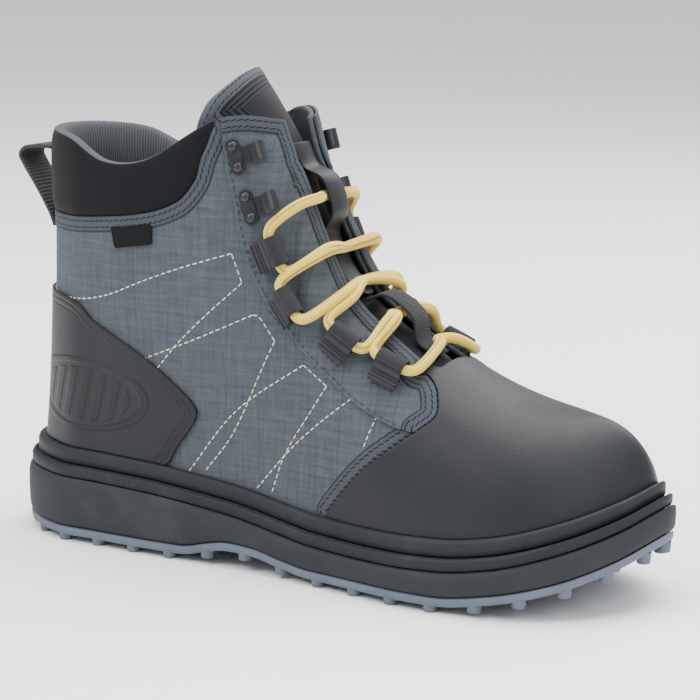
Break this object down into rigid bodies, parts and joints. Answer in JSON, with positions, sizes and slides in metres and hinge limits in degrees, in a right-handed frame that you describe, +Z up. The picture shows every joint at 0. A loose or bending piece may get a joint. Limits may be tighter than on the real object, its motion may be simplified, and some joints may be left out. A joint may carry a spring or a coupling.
{
  "type": "wading boot",
  "caption": "Ankle-high laced wading boot for the right foot: hollow upper open at collar and foot, padded tongue, webbing loops, studded rubber sole.",
  "frame": {"origin": "on the floor, centre of the large stud under the middle of the heel, 42 mm in front of the heel's back edge", "axes": "+X to the toe, +Y to the medial side, +Z up"},
  "size_m": [0.3206, 0.1095, 0.2148],
  "materials": {
    "outsole": "slate grey rubber",
    "midsole": "charcoal foam",
    "welt": "dark rubber strip",
    "rand": "dark matte rubber",
    "insole": "grey footbed fabric",
    "upper": "grey blue ripstop weave",
    "vamp": "smooth coated synthetic leather",
    "heel_counter": "rubberised synthetic leather",
    "eyestay": "grey blue weave with dark binding",
    "collar": "black padded fabric",
    "tongue": "padded grey weave",
    "tongue_strip": "smooth dark strip",
    "webbing": "ribbed grey webbing",
    "hooks": "black painted metal",
    "lace": "yellow braided cord",
    "side_tab": "bare dark tab"
  },
  "bodies": {
    "root": {"outsole": "outsole", "midsole": "midsole", "welt": "welt", "rand": "rand", "insole": "insole", "upper": "upper", "vamp": "vamp", "heel_counter": "heel_counter", "eyestay_lateral": "eyestay", "eyestay_medial": "eyestay", "collar": "collar", "tongue": "tongue", "tongue_strip": "tongue_strip", "tongue_keeper": "webbing", "lace_loop_lateral_1": "webbing", "lace_loop_lateral_2": "webbing", "lace_loop_lateral_3": "webbing", "lace_loop_lateral_4": "webbing", "lace_loop_medial_1": "webbing", "lace_loop_medial_2": "webbing", "lace_loop_medial_3": "webbing", "lace_loop_medial_4": "webbing", "lace_hook_lateral_1": "hooks", "lace_hook_lateral_2": "hooks", "lace_hook_medial_1": "hooks", "lace_hook_medial_2": "hooks", "lace": "lace", "pull_loop": "webbing", "side_tab": "side_tab"}
  },
  "joints": []
}
